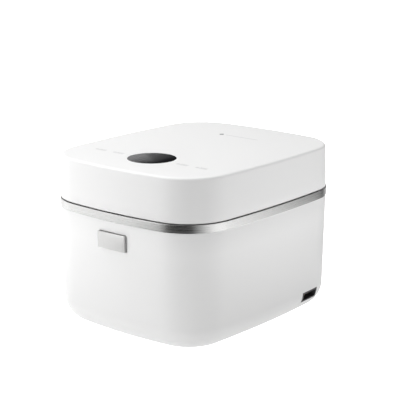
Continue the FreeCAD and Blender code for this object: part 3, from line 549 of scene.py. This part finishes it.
def loft(profile: Profile, closed: bool = False) -> bmesh.types.BMesh:
    """Bridge rings of the plan, one for each (inset, height) of a profile.

    The rings are bridged while they stand apart, each above the last, and then go to their heights.

    Args:
        profile: the insets and heights, in order over the wall.
        closed: join the last ring to the first, and don't fill them.

    Returns:
        The mesh.
    """
    mesh = bmesh.new()
    rings = [PLAN.ring(mesh, inset, RING_GAP * i) for i, (inset, _) in enumerate(profile)]
    pairs = list(zip(rings, rings[1:]))
    if closed:
        pairs.append((rings[-1], rings[0]))
    for one, other in pairs:
        bmesh.ops.bridge_loops(mesh, edges=one + other)
    if not closed:
        for ring in (rings[0], rings[-1]):
            bmesh.ops.contextual_create(mesh, geom=ring)
    bmesh.ops.recalc_face_normals(mesh, faces=mesh.faces)
    for i, (ring, (_, level)) in enumerate(zip(rings, profile)):
        dots = list({v for e in ring for v in e.verts})
        bmesh.ops.translate(mesh, verts=dots, vec=(0, 0, level - RING_GAP * i))
    if mesh.calc_volume(signed=True) < 0:
        bmesh.ops.reverse_faces(mesh, faces=mesh.faces)
    return mesh


def lathe(profile: Profile, centre: Sequence[float], closed: bool = False,
          steps: int = 96) -> bmesh.types.BMesh:
    """Spin a profile of (radius, height) points about an upright axis.

    Args:
        profile: the points, in order.
        centre: the axis's X and Y.
        closed: join the last point to the first, for a ring.
        steps: how many facets a full turn has.

    Returns:
        The mesh.
    """
    mesh = bmesh.new()
    dots = [mesh.verts.new((r, 0, z)) for r, z in profile]
    edges = [mesh.edges.new(pair) for pair in zip(dots, dots[1:])]
    if closed:
        edges.append(mesh.edges.new((dots[-1], dots[0])))
    bmesh.ops.spin(mesh, geom=dots + edges, cent=(0, 0, 0), axis=(0, 0, 1), angle=math.tau, steps=steps,
                   use_merge=True, use_duplicate=False)
    bmesh.ops.remove_doubles(mesh, verts=mesh.verts, dist=1e-6)
    bmesh.ops.recalc_face_normals(mesh, faces=mesh.faces)
    bmesh.ops.translate(mesh, verts=mesh.verts, vec=(centre[0], centre[1], 0))
    return mesh


def brick(low: Sequence[float], high: Sequence[float], rounding: float = 0.0,
          segments: int = 3) -> bmesh.types.BMesh:
    """Box between two corners, with all its edges rounded.

    Args:
        low: its lowest corner.
        high: its highest corner.
        rounding: the radius of its edges.
        segments: how many facets each rounding has.

    Returns:
        The mesh.
    """
    mesh = bmesh.new()
    bmesh.ops.create_cube(mesh, size=1.0)
    spans = [b - a for a, b in zip(low, high)]
    bmesh.ops.scale(mesh, vec=spans, verts=mesh.verts)
    bmesh.ops.translate(mesh, vec=[(a + b) / 2 for a, b in zip(low, high)], verts=mesh.verts)
    if rounding:
        bmesh.ops.bevel(mesh, geom=mesh.edges, offset=rounding, offset_type="OFFSET", segments=segments,
                        profile=0.5, affect="EDGES", clamp_overlap=True, material=-1)
    return mesh


def rod(radius: float, start: Sequence[float], end: Sequence[float], facets: int = 48) -> bmesh.types.BMesh:
    """Cylinder between two points.

    Args:
        radius: its radius.
        start: the middle of one end.
        end: the middle of the other.
        facets: how many sides it has.

    Returns:
        The mesh.
    """
    mesh = bmesh.new()
    line = Vector(end) - Vector(start)
    turn = line.to_track_quat("Z", "Y").to_matrix().to_4x4()
    bmesh.ops.create_cone(mesh, cap_ends=True, segments=facets, radius1=radius, radius2=radius,
                          depth=line.length,
                          matrix=Matrix.Translation((Vector(start) + Vector(end)) / 2) @ turn)
    return mesh


def gather(parts: Iterable[bmesh.types.BMesh]) -> bmesh.types.BMesh:
    """Put several meshes into one, as separate islands.

    Args:
        parts: the meshes, which are used up.

    Returns:
        The one mesh.
    """
    whole = bmesh.new()
    for part in parts:
        scratch = bpy.data.meshes.new("scratch")
        part.to_mesh(scratch)
        part.free()
        whole.from_mesh(scratch)
        bpy.data.meshes.remove(scratch)
    return whole


def solid(mesh: bmesh.types.BMesh, name: str) -> bpy.types.Object:
    """Make an object of a mesh, at the origin.

    Args:
        mesh: the mesh, which is used up.
        name: the object's name.

    Returns:
        The object, in the scene.
    """
    data = bpy.data.meshes.new(name)
    mesh.to_mesh(data)
    mesh.free()
    made = bpy.data.objects.new(name, data)
    bpy.context.scene.collection.objects.link(made)
    return made


def carve(piece: bpy.types.Object, cutters: Iterable[bmesh.types.BMesh]) -> None:
    """Cut shapes out of a piece, and keep the result as its mesh.

    Args:
        piece: the piece to cut.
        cutters: the shapes.
    """
    tools = [solid(cutter, "cutter") for cutter in cutters]
    for tool in tools:
        step = piece.modifiers.new("carve", "BOOLEAN")
        step.object = tool
        step.operation = "DIFFERENCE"
        step.solver = "EXACT"
    bpy.context.view_layer.update()
    carved = bpy.data.meshes.new_from_object(piece.evaluated_get(bpy.context.evaluated_depsgraph_get()))
    piece.modifiers.clear()
    piece.data = carved
    for tool in tools:
        bpy.data.objects.remove(tool)


def dress(piece: bpy.types.Object, finish: Finish, body: str, replaces: Sequence[str] = (),
          soften: float = 0.0) -> bpy.types.Object:
    """Give a piece its finish, shading and body.

    Args:
        piece: the piece.
        finish: what it is made of.
        body: the CAD body that it moves with.
        replaces: the CAD nodes that it stands for.
        soften: the radius that its sharp edges are broken by.

    Returns:
        The piece.
    """
    piece.data.materials.clear()
    piece.data.materials.append(finish.material())
    piece.data.shade_smooth()
    piece.data.set_sharp_from_angle(angle=SHARP)
    if soften:
        edge = piece.modifiers.new("softened_edges", "BEVEL")
        edge.width = soften
        edge.segments = 2
        edge.limit_method = "ANGLE"
        edge.angle_limit = SHARP
        edge.harden_normals = True
    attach(piece, body)
    if replaces:
        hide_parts(*replaces)
    LOG.info("%s rides on %s in %s", piece.name, body, finish.name)
    return piece


def softened(node: str, finish: Finish, width: float = 0.0004) -> bpy.types.Object:
    """A CAD node with its sharp edges broken: a merged copy of it stands for the node.

    Args:
        node: the CAD node.
        finish: what it is made of.
        width: the radius of its edges.

    Returns:
        The new piece.
    """
    source = frame["nodes"][node]
    mesh = bmesh.new()
    mesh.from_mesh(source.data)
    bmesh.ops.remove_doubles(mesh, verts=mesh.verts, dist=1e-6)
    bmesh.ops.dissolve_limit(mesh, angle_limit=math.radians(0.6), verts=mesh.verts, edges=mesh.edges,
                             use_dissolve_boundaries=False)
    return dress(solid(mesh, node + "_soft"), finish, source["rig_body"], (node,), width)


# ---- casing ------------------------------------------------------------------------------------


@dataclass
class Casing:
    """Outer body, silver band, feet, base and the mains inlet."""

    top: float = 0.160
    foot: float = 0.004
    lean: float = 0.0026
    wall: float = 0.0026
    round_r: float = 0.032
    base_inset: float = 0.038
    band_proud: float = 0.0008
    band_wall: float = 0.0024
    band_edge: float = 0.0001
    slit: float = 0.0007

    def side(self, inset: float, rounding: float, low: float, top: float) -> Profile:
        """One face of the wall, from its top to where the bottom is flat.

        Args:
            inset: how far inside the outline the face starts.
            rounding: the radius of its lower bend.
            low: the bottom's height.
            top: its top edge's height.

        Returns:
            The insets and heights.
        """
        bottom_inset = inset + self.lean * (self.top - low - rounding) / (self.top - self.foot)
        upright = [(inset + (bottom_inset - inset) * i / 5, top + (low + rounding - top) * i / 5)
                   for i in range(5)]
        bend = arc((bottom_inset + rounding, low + rounding), rounding, 180, 270, 14)
        return upright + bend

    def shell(self) -> None:
        """The white outer wall, with the button's window and the inlet's mouth."""
        rim = arc((0.0006, self.top - 0.0006), 0.0006, 90, 180, 3)
        outer = rim + self.side(0.0, self.round_r, self.foot, self.top - 0.0009)[1:]
        outer.append((self.base_inset, self.foot))
        inner = self.side(self.wall, self.round_r - self.wall, self.foot + self.wall, self.top)
        profile = outer + [(self.base_inset, self.foot + self.wall)] + inner[::-1]
        piece = solid(loft(profile, closed=True), "body_casing")
        low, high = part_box("release_button")
        inlet_low, inlet_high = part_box("inlet_housing")
        window = brick((low.x - self.slit, low.y - 0.005, low.z - self.slit),
                       (high.x + self.slit, low.y + 0.012, high.z + self.slit), 0.0012)
        mouth = brick((inlet_low.x, inlet_low.y - 0.0002, inlet_low.z - 0.0002),
                      (inlet_high.x + 0.02, inlet_high.y + 0.0002, inlet_high.z + 0.0002))
        carve(piece, [window, mouth])
        dress(piece, WHITE, "body", ("body_shell",))

    def band(self) -> None:
        """The satin silver band under the lid, open behind the hinge."""
        low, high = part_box("trim_band")
        out, back, edge = -self.band_proud, self.band_wall - self.band_proud, self.band_edge
        middle = (low.z + high.z) / 2
        crown = 0.00002
        profile = arc((out + edge + crown, low.z + edge), edge, 270, 180, 4)
        profile += [(out, middle - 0.003), (out, middle), (out, middle + 0.003)]
        profile += arc((out + edge + crown, high.z - edge), edge, 180, 90, 4)
        profile += [(back, high.z), (back, low.z)]
        piece = solid(loft(profile, closed=True), "silver_band")
        cover_low, cover_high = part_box("hinge_cover")
        carve(piece, [brick((cover_low.x - 0.0006, cover_low.y - 0.02, low.z - 0.01),
                            (cover_high.x + 0.0006, cover_high.y + 0.02, high.z + 0.01))])
        dress(piece, SATIN_BAND, "body", ("trim_band",))

    def feet(self) -> None:
        """Four rubber feet with a rounded tread and a plug up into the base."""
        spots = ((-0.062, -0.098), (0.062, -0.098), (-0.086, 0.052), (0.086, 0.052))
        low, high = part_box("feet")
        tread = [(0.0, low.z + 0.0006), (0.005, low.z + 0.0006), (0.0056, low.z), (0.0082, low.z)]
        tread += arc((0.0085, low.z + 0.0011), 0.0011, 290, 350, 4)
        tread += [(0.01, self.foot - 0.0002), (0.0098, self.foot), (0.0049, self.foot),
                  (0.0049, high.z - 0.0005), (0.0044, high.z), (0.0, high.z)]
        piece = solid(gather(lathe(tread, spot, steps=40) for spot in spots), "rubber_feet")
        dress(piece, FOOT_RUBBER, "body", ("feet",))

    def build(self) -> None:
        """Make and dress the casing's pieces."""
        self.shell()
        self.band()
        self.feet()
        softened("base_cover", GREY_PLASTIC)
        softened("inlet_housing", BLACK_PLASTIC, 0.0005)
        softened("deck_ring", INNER_WHITE, 0.0005)
        softened("hinge_cover", WHITE, 0.0006)
        softened("hinge_bracket", PRESSED_STEEL, 0.0003)


# ---- lid ---------------------------------------------------------------------------------------


@dataclass
class Lid:
    """Lid cover, window, touch marks, under-frame and the detachable inner lid."""

    low: float = 0.1718
    top: float = 0.22796
    lean: float = 0.0021
    wall: float = 0.0025
    edge_r: float = 0.0035
    window: tuple[float, float] = (0.0, -0.087)
    window_r: float = 0.0315
    ink: float = 0.00003
    mark_groups: tuple[float, ...] = (-0.085, -0.054, 0.054, 0.085)
    mark_row: float = -0.091
    dot_r: float = 0.0026
    dot_offset: float = 0.0068
    tile_pitch: float = 0.0032
    tile_wide: float = 0.0023
    tile_half: float = 0.0033
    rear_row: float = 0.088

    def cover(self) -> None:
        """The white lid, cut round the hinge, the window and the steam outlet."""
        height = self.top - self.low
        lip = 0.0007
        inset = self.lean * (height - self.edge_r) / height
        outer = arc((lip, self.low + lip), lip, 270, 180, 3)
        rise = height - self.edge_r - lip
        outer += [(inset * i / 4, self.low + lip + rise * i / 4) for i in range(1, 4)]
        outer += arc((inset + self.edge_r, self.top - self.edge_r), self.edge_r, 180, 90, 9)
        ceiling = self.top - self.wall
        inner = [(self.wall, self.low), (self.wall + inset, ceiling - 0.0015),
                 (self.wall + inset + 0.0015, ceiling)]
        piece = solid(loft(outer[::-1] + inner), "lid_casing")
        x, y = self.window
        _, cover_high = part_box("hinge_cover")
        half = cover_high.x + 0.001
        axis = (0.150, 0.176)
        outlet_low, outlet_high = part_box("steam_outlet")
        carve(piece, [
            rod(self.window_r + 0.00015, (x, y, self.top - 0.01), (x, y, self.top + 0.01), 96),
            brick((-half, axis[0], self.low - 0.01), (half, axis[0] + 0.03, 0.189)),
            rod(0.0158, (-half, *axis), (half, *axis), 64),
            brick((outlet_low.x - 0.0002, outlet_low.y - 0.003, outlet_low.z - 0.0002),
                  (outlet_high.x + 0.0002, outlet_high.y + 0.02, outlet_high.z + 0.0002)),
        ])
        dress(piece, WHITE, "lid", ("lid_cover",))

    def display(self) -> None:
        """Round smoked window with a softly broken edge."""
        low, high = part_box("display_window")
        rim = self.window_r + 0.0025
        profile = [(0.0, low.z), (rim, low.z), (rim, low.z + 0.0015), (self.window_r, low.z + 0.0015)]
        profile += arc((self.window_r - 0.0005, high.z - 0.0005), 0.0005, 0, 90, 4) + [(0.0, high.z)]
        dress(solid(lathe(profile, self.window, steps=128), "round_window"), SCREEN, "lid",
              ("display_window",))

    def marks(self) -> None:
        """Faint touch marks each side of the window, and a plain mark at the rear."""
        base, face = self.top, self.top + self.ink
        bits = []
        for middle in self.mark_groups:
            dot = middle - self.dot_offset
            bits.append(rod(self.dot_r, (dot, self.mark_row, base), (dot, self.mark_row, face), 24))
            for i in range(4):
                x = middle - self.tile_pitch + self.tile_pitch * i
                bits.append(brick((x, self.mark_row - self.tile_half, base),
                                  (x + self.tile_wide, self.mark_row + self.tile_half, face)))
        dress(solid(gather(bits), "touch_marks"), FAINT_INK, "lid")
        tile = bmesh.new()
        bmesh.ops.create_circle(tile, cap_ends=True, segments=6, radius=0.0036,
                                matrix=Matrix.Translation((-0.026, self.rear_row, face)))
        dress(solid(tile, "rear_tile"), DARK_INK, "lid")
        bar = brick((-0.019, self.rear_row - 0.0011, base), (0.036, self.rear_row + 0.0011, face))
        dress(solid(bar, "rear_line"), FAINT_INK, "lid")

    def inner(self) -> None:
        """Spun inner lid with a pressed rim, and its lipped gasket."""
        low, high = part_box("inner_lid")
        thick = 0.0012
        under = [(0.0, high.z - thick), (0.03, high.z - thick), (0.032, high.z - thick - 0.0006),
                 (0.036, high.z - thick - 0.0006), (0.038, high.z - thick), (0.088, high.z - thick),
                 (0.096, low.z), (0.108, low.z)]
        over = [(0.108, low.z + thick), (0.0965, low.z + thick), (0.0885, high.z), (0.0, high.z)]
        piece = solid(lathe(under + over, POT_CENTRE, steps=128), "inner_lid_disc")
        y = POT_CENTRE[1] + 0.056
        holes = [rod(0.0022, (0, y, 0.16), (0, y, 0.2), 20)]
        for i in range(6):
            x, dy = 0.01 * math.cos(i * math.pi / 3), 0.01 * math.sin(i * math.pi / 3)
            holes.append(rod(0.0022, (x, y + dy, 0.16), (x, y + dy, 0.2), 20))
        carve(piece, holes)
        dress(piece, LID_ALUMINIUM, "lid", ("inner_lid",), 0.0003)
        seal_low, seal_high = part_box("inner_lid_gasket")
        bead = 0.0009
        section = arc((0.1115, seal_low.z + bead), bead, 270, 360, 4) + [(0.1124, seal_high.z - 0.0006)]
        section += arc((0.1118, seal_high.z - 0.0006), 0.0006, 0, 90, 3)
        section += [(0.105, seal_high.z), (0.105, seal_high.z - 0.0012), (0.1082, seal_high.z - 0.0013)]
        section += [(0.1082, seal_low.z + 0.0022), (0.1096, seal_low.z + 0.0006)]
        dress(solid(lathe(section, POT_CENTRE, closed=True, steps=128), "lipped_gasket"), SILICONE, "lid",
              ("inner_lid_gasket",))

    def build(self) -> None:
        """Make and dress the lid's pieces."""
        self.cover()
        self.display()
        self.marks()
        self.inner()
        softened("lid_frame", INNER_WHITE, 0.0005)
        softened("lid_hinge_arms", PRESSED_STEEL, 0.0003)
        softened("latch_catch", PRESSED_STEEL, 0.0002)
        softened("steam_valve", SILICONE, 0.0005)
        softened("steam_outlet", INNER_WHITE, 0.0004)
        softened("steam_cap", WHITE, 0.0005)


# ---- pot and heating ------------------------------------------------------------------------------


@dataclass
class Hearth:
    """Pot, and the liner, bowl and sensor that it stands on."""

    pot_r: float = 0.1085
    wall: float = 0.003
    bend: float = 0.045
    flange_r: float = 0.117
    first_level: float = 0.052
    level_step: float = 0.010

    def pot(self) -> None:
        """Coated pot with a rolled flange and a rounded foot."""
        low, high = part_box("inner_pot")
        seat = high.z - 0.002
        outer = [(0.0, low.z)] + arc((self.pot_r - self.bend, low.z + self.bend), self.bend, 270, 360, 16)
        outer += arc((self.pot_r + 0.0012, seat - 0.0012), 0.0012, 180, 90, 3)
        outer += arc((self.flange_r - 0.001, high.z - 0.001), 0.001, 270, 450, 6)
        inside = self.pot_r - self.wall
        inner = arc((inside + 0.002, high.z - 0.002), 0.002, 90, 180, 5)
        bend = self.bend - self.wall
        inner += arc((inside - bend, low.z + self.wall + bend), bend, 360, 270, 16)
        inner.append((0.0, low.z + self.wall))
        dress(solid(lathe(outer + inner, POT_CENTRE, steps=144), "cooking_pot"), POT_COATING, "body",
              ("inner_pot",))

    def scale_marks(self) -> None:
        """Water-level lines on the inside of the pot."""
        low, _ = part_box("inner_pot")
        inside = self.pot_r - self.wall
        marks = []
        for i in range(6):
            level = low.z + self.first_level + self.level_step * i
            line = bmesh.new()
            reach = math.radians(9 if i % 2 else 14)
            dots = [line.verts.new((inside + dx, 0, level + dz))
                    for dx, dz in ((0.0, 0), (-0.0003, 0.0001), (-0.0003, 0.0007), (0.0, 0.0008))]
            edges = [line.edges.new(pair) for pair in zip(dots, dots[1:] + dots[:1])]
            face = line.faces.new(dots)
            bmesh.ops.spin(line, geom=[face, *edges, *dots], cent=(0, 0, 0), axis=(0, 0, 1), angle=reach,
                           steps=10, use_merge=False, use_duplicate=False)
            bmesh.ops.recalc_face_normals(line, faces=line.faces)
            bmesh.ops.rotate(line, cent=(0, 0, 0), matrix=Matrix.Rotation(math.radians(100), 3, "Z"),
                             verts=line.verts)
            bmesh.ops.translate(line, vec=(*POT_CENTRE, 0), verts=line.verts)
            marks.append(line)
        dress(solid(gather(marks), "level_lines"), FAINT_INK, "body")

    def build(self) -> None:
        """Make and dress the pieces in the well."""
        self.pot()
        self.scale_marks()
        softened("inner_liner", PRESSED_STEEL, 0.0002)
        softened("coil_bowl", BLACK_PLASTIC, 0.0003)
        softened("sensor_cap", CAP_ALUMINIUM, 0.0004)


# ---- button and latch -----------------------------------------------------------------------------


@dataclass
class Release:
    """Front push button, the guide round it and the latch hook."""

    face_round: float = 0.0003
    body_deep: float = 0.006

    def button(self) -> None:
        """Brushed button with softly rounded edges, and the stem behind it."""
        low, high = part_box("release_button")
        face = brick(low, (high.x, low.y + self.body_deep, high.z), self.face_round, 4)
        stem = brick((-0.004, low.y + self.body_deep - 0.0005, low.z + 0.001),
                     (0.004, high.y, low.z + 0.004), 0.0004)
        dress(solid(gather([face, stem]), "push_button"), BUTTON_METAL, "release_button",
              ("release_button",))

    def build(self) -> None:
        """Make and dress the button's pieces."""
        self.button()
        softened("button_guide", DARK_SLIT, 0.0003)
        softened("latch_hook", BLACK_PLASTIC, 0.0004)


# ---- studio ------------------------------------------------------------------------------------------


@dataclass(frozen=True)
class SoftBox:
    """A light panel by where it hangs round the cooker, its size and its power in watts."""

    name: str
    azimuth: float
    elevation: float
    size: tuple[float, float]
    power: float


@dataclass(frozen=True)
class BounceCard(Finish):
    """White and black card round the cooker: what its metal mirrors, and light thrown back from below."""

    near: float = 0.7
    far: float = 1.0
    sectors: tuple[float, ...] = (0.0, 0.0, 0.0, 0.45, 1.2, 1.2, 0.6, 0.0,
                                  0.5, 0.7, 0.6, 0.6, 0.8, 1.2, 0.85, 0.5)
    edges: tuple[tuple[float, float], tuple[float, float]] = ((0.34, 0.42), (4.0, 7.0))
    brightest: float = 1.2

    def build(self, board: NodeBoard) -> None:
        """Glow by direction in a ring round the cooker, and evenly inside and outside it."""
        split = board.node("ShaderNodeSeparateXYZ", vector=board.place)
        x, y = split.outputs["X"], split.outputs["Y"]
        turn = board.math("DIVIDE", board.math("ARCTAN2", x, board.math("MULTIPLY", y, -1.0)), math.tau)
        share = board.math("FRACT", board.math("ADD", turn, 1.0))
        ramp = board.node("ShaderNodeValToRGB", fac=share)
        stops = ramp.color_ramp.elements
        count = len(self.sectors)
        for i in range(count + 1):
            level = self.sectors[i % count] / self.brightest
            stop = stops[0] if i == 0 else stops[-1] if i == count else stops.new(i / count)
            stop.color = (level, level, level, 1.0)
        square = board.math("ADD", board.math("MULTIPLY", x, x), board.math("MULTIPLY", y, y))
        reach = board.math("SQRT", square)
        glow = board.math("MULTIPLY", ramp.outputs["Color"], self.brightest)
        sides = ((self.near, self.edges[0], True), (self.far, self.edges[1], False))
        for level, (start, end), inward in sides:
            fade = board.spread(reach, 1.0 if inward else 0.0, 0.0 if inward else 1.0, start, end)
            kept = board.math("MULTIPLY", glow, board.math("SUBTRACT", 1.0, fade))
            glow = board.math("ADD", kept, board.math("MULTIPLY", fade, level))
        board.link(glow, "Emission Strength")
        paint = board.blend(board.spread(glow, 0.0, 1.0, 0.0, 0.6), self.shade(0.04), self.colour)
        board.link(paint, "Base Color")
        board.set(roughness=0.9, specular_ior_level=0.0, emission_color=(1.0, 1.0, 1.0, 1.0))


@dataclass
class Studio:
    """Pale glowing table, soft boxes and the camera."""

    target: tuple[float, float, float] = (0.0, 0.0, 0.109)
    azimuth: float = 39.68
    elevation: float = 15.9
    distance: float = 1.7415
    focal: float = 116.58
    shift: tuple[float, float] = (0.0109, 0.0844)
    sensor: float = 36.0
    reach: float = 2.2
    centre: tuple[float, float, float] = (0.0, 0.0, 0.1)
    air: float = 0.02
    floor_tone: float = 0.85
    floor_glow: float = 0.6
    boxes: tuple[SoftBox, ...] = (
        SoftBox("left_box", 302, 14, (1.1, 0.75), 0.4),
        SoftBox("front_left_box", 338, 14, (1.1, 0.75), 17.4),
        SoftBox("front_right_box", 72, 14, (1.1, 0.75), 8.2),
        SoftBox("right_box", 117, 14, (1.1, 0.75), 6.8),
        SoftBox("rear_box", 238, 14, (1.1, 0.75), 0.6),
        SoftBox("high_front_box", 45, 42, (1.3, 1.0), 1.1),
        SoftBox("overhead_box", 255, 68, (2.4, 1.9), 55.0),
        SoftBox("high_left_box", 334, 42, (1.6, 1.2), 10.5),
    )

    @staticmethod
    def heading(azimuth: float, elevation: float) -> Vector:
        """Direction out from the cooker, turned from the front towards the right side."""
        az, el = math.radians(azimuth), math.radians(elevation)
        return Vector((math.sin(az) * math.cos(el), -math.cos(az) * math.cos(el), math.sin(el)))

    def camera(self) -> None:
        """Long lens from the front right, a little above the lid."""
        lens = bpy.data.cameras.new("camera")
        lens.sensor_width, lens.lens = self.sensor, self.focal
        lens.shift_x, lens.shift_y = self.shift
        lens.clip_end = 50.0
        holder = bpy.data.objects.new("camera", lens)
        back = self.heading(self.azimuth, self.elevation)
        holder.location = Vector(self.target) + back * self.distance
        holder.rotation_euler = back.to_track_quat("Z", "Y").to_euler()
        bpy.context.scene.collection.objects.link(holder)
        bpy.context.scene.camera = holder

    def panel(self, box: SoftBox) -> None:
        """Hang one soft box, facing the cooker.

        Args:
            box: the soft box.
        """
        lamp = bpy.data.lights.new(box.name, "AREA")
        lamp.shape = "RECTANGLE"
        lamp.size, lamp.size_y = box.size
        lamp.energy = box.power
        holder = bpy.data.objects.new(box.name, lamp)
        out = self.heading(box.azimuth, box.elevation)
        holder.location = Vector(self.centre) + out * self.reach
        holder.rotation_euler = out.to_track_quat("Z", "Y").to_euler()
        bpy.context.scene.collection.objects.link(holder)

    def sheet(self, name: str, level: float, material: bpy.types.Material) -> bpy.types.Object:
        """One wide level sheet that isn't part of the cooker.

        Args:
            name: its name.
            level: its height.
            material: its material.

        Returns:
            The sheet.
        """
        mesh = bmesh.new()
        bmesh.ops.create_grid(mesh, x_segments=1, y_segments=1, size=14.0)
        bmesh.ops.translate(mesh, verts=mesh.verts, vec=(0, 0, level))
        made = solid(mesh, name)
        made.data.materials.append(material)
        return made

    def floor(self) -> None:
        """Plain white floor, under bounce cards that light and mirror but aren't seen."""
        paint = NodeBoard("floor_paint")
        paint.set(base_color=(self.floor_tone,) * 3 + (1.0,), roughness=0.9, specular_ior_level=0.0,
                  emission_color=(1.0, 1.0, 1.0, 1.0), emission_strength=self.floor_glow)
        self.sheet("floor", -0.0002, paint.material)
        cards = self.sheet("bounce_cards", -0.0001, BounceCard("bounce_card", (0.5, 0.5, 0.5)).material())
        cards.visible_camera = False
        cards.visible_shadow = False

    def build(self) -> None:
        """Set up the studio."""
        scene = bpy.context.scene
        scene.view_settings.view_transform = "Standard"
        world = bpy.data.worlds.new("studio_air")
        world.use_nodes = True
        sky = world.node_tree.nodes["Background"].inputs
        sky["Color"].default_value = (1.0, 1.0, 1.0, 1.0)
        sky["Strength"].default_value = self.air
        scene.world = world
        self.floor()
        self.camera()
        for box in self.boxes:
            self.panel(box)


def dress_frame() -> None:
    """Give every CAD node that stays its own finish."""
    for node, finish in CAD_FINISHES.items():
        piece = frame["nodes"][node]
        piece.data.materials.clear()
        piece.data.materials.append(finish.material())
        LOG.info("%s keeps its shape in %s", node, finish.name)


def main() -> None:
    """Build the studio, then the cooker from the outside in."""
    logging.basicConfig(level=logging.INFO, format="%(name)s: %(message)s")
    Studio().build()
    Casing().build()
    Lid().build()
    Hearth().build()
    Release().build()
    dress_frame()


if __name__ == "__main__":
    main()
